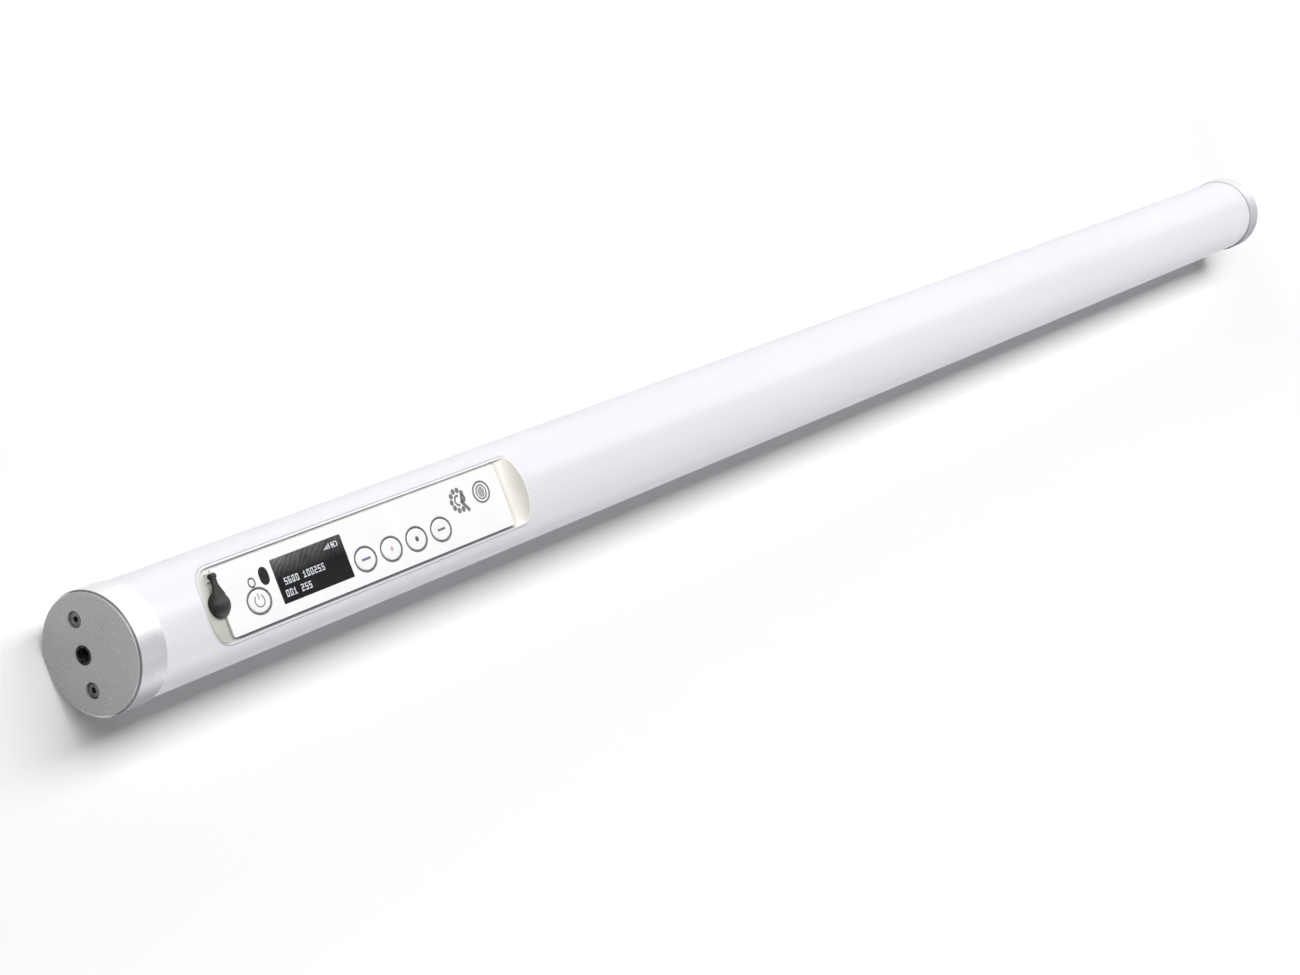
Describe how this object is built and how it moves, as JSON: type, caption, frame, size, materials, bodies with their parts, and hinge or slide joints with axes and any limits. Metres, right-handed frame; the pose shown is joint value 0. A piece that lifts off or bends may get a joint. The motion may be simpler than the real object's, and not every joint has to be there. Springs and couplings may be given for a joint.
{
  "type": "led light tube",
  "caption": "Battery-powered opal LED light tube with aluminium end caps, a threaded hanging hole in each cap, and a sunken control panel with display, oval keys and a charging plug.",
  "frame": {"origin": "on the tube's axis, half-way between the two end faces", "axes": "+X along the tube from the control-panel end to the far end, +Z out of the control panel"},
  "size_m": [1.035, 0.043, 0.043],
  "materials": {
    "opal_diffuser": "satin opal polycarbonate",
    "cap_aluminium": "fine-turned, bead-blasted",
    "dark_steel": "black oxide",
    "seal_rubber": "matt",
    "screw_steel": "zinc-plated",
    "carrier_aluminium": "extruded, plain",
    "baffle_plastic": "matt white",
    "white_board": "white solder resist",
    "led_phosphor": "clear over yellow phosphor",
    "cell_can": "wrapped cell",
    "insulator_card": "pressed card",
    "sleeve_plastic": "heat-shrunk sleeve",
    "foam_tape": "foam",
    "tray_plastic": "moulded, fine satin",
    "label_film": "printed film, satin",
    "display_glass": "smoked window",
    "display_black": "display module",
    "key_plastic": "satin keycap with printed marks",
    "dome_metal": "snap domes",
    "ir_plastic": "dark infrared window",
    "chip_plastic": "moulded components",
    "lens_clear": "clear light pipe",
    "board_green": "green solder resist",
    "shield_tin": "tinned shield",
    "inlet_plastic": "black nylon",
    "pin_brass": "plated brass",
    "plug_rubber": "soft black rubber"
  },
  "bodies": {
    "housing": {"diffuser_tube": "opal_diffuser", "near_end_cap": "cap_aluminium", "far_end_cap": "cap_aluminium", "near_thread_insert": "dark_steel", "far_thread_insert": "dark_steel", "near_seal": "seal_rubber", "far_seal": "seal_rubber", "near_cap_screws": "screw_steel", "far_cap_screws": "screw_steel", "carrier_profile": "carrier_aluminium", "light_baffle": "baffle_plastic", "led_boards": "white_board", "led_emitters": "led_phosphor", "battery_cells": "cell_can", "battery_insulators": "insulator_card", "battery_sleeve": "sleeve_plastic", "battery_pad": "foam_tape", "panel_tray": "tray_plastic", "tray_posts": "screw_steel", "tray_screws": "screw_steel", "panel_label": "label_film", "display_window": "display_glass", "display_panel": "display_black", "display_pad": "foam_tape", "dome_switches": "dome_metal", "ir_window": "ir_plastic", "ir_receiver": "chip_plastic", "status_lens": "lens_clear", "status_led": "lens_clear", "control_board": "board_green", "board_screws": "screw_steel", "radio_module": "shield_tin", "driver_board": "board_green", "driver_standoffs": "screw_steel", "driver_parts": "chip_plastic", "charge_inlet": "inlet_plastic", "charge_pin": "pin_brass", "strap_anchor": "plug_rubber"},
    "power_key": {"power_key": "key_plastic"},
    "menu_key": {"menu_key": "key_plastic"},
    "back_key": {"back_key": "key_plastic"},
    "enter_key": {"enter_key": "key_plastic"},
    "mode_key": {"mode_key": "key_plastic"},
    "charge_plug": {"charge_plug": "plug_rubber"}
  },
  "joints": [
    {"name": "power_key_press", "type": "slide", "parent": "housing", "child": "power_key", "axis": [0, 0, -1], "range_m": [0, 0.0004], "stiffness_N_per_m": 800, "springref_m": -0.0004},
    {"name": "menu_key_press", "type": "slide", "parent": "housing", "child": "menu_key", "axis": [0, 0, -1], "range_m": [0, 0.0004], "stiffness_N_per_m": 800, "springref_m": -0.0004},
    {"name": "back_key_press", "type": "slide", "parent": "housing", "child": "back_key", "axis": [0, 0, -1], "range_m": [0, 0.0004], "stiffness_N_per_m": 800, "springref_m": -0.0004},
    {"name": "enter_key_press", "type": "slide", "parent": "housing", "child": "enter_key", "axis": [0, 0, -1], "range_m": [0, 0.0004], "stiffness_N_per_m": 800, "springref_m": -0.0004},
    {"name": "mode_key_press", "type": "slide", "parent": "housing", "child": "mode_key", "axis": [0, 0, -1], "range_m": [0, 0.0004], "stiffness_N_per_m": 800, "springref_m": -0.0004},
    {"name": "charge_plug_strap", "type": "hinge", "parent": "housing", "child": "charge_plug", "pos_m": [-0.4692, 0.0098, 0.0168], "axis": [-1, 0, 0], "range_deg": [0, 120]}
  ]
}
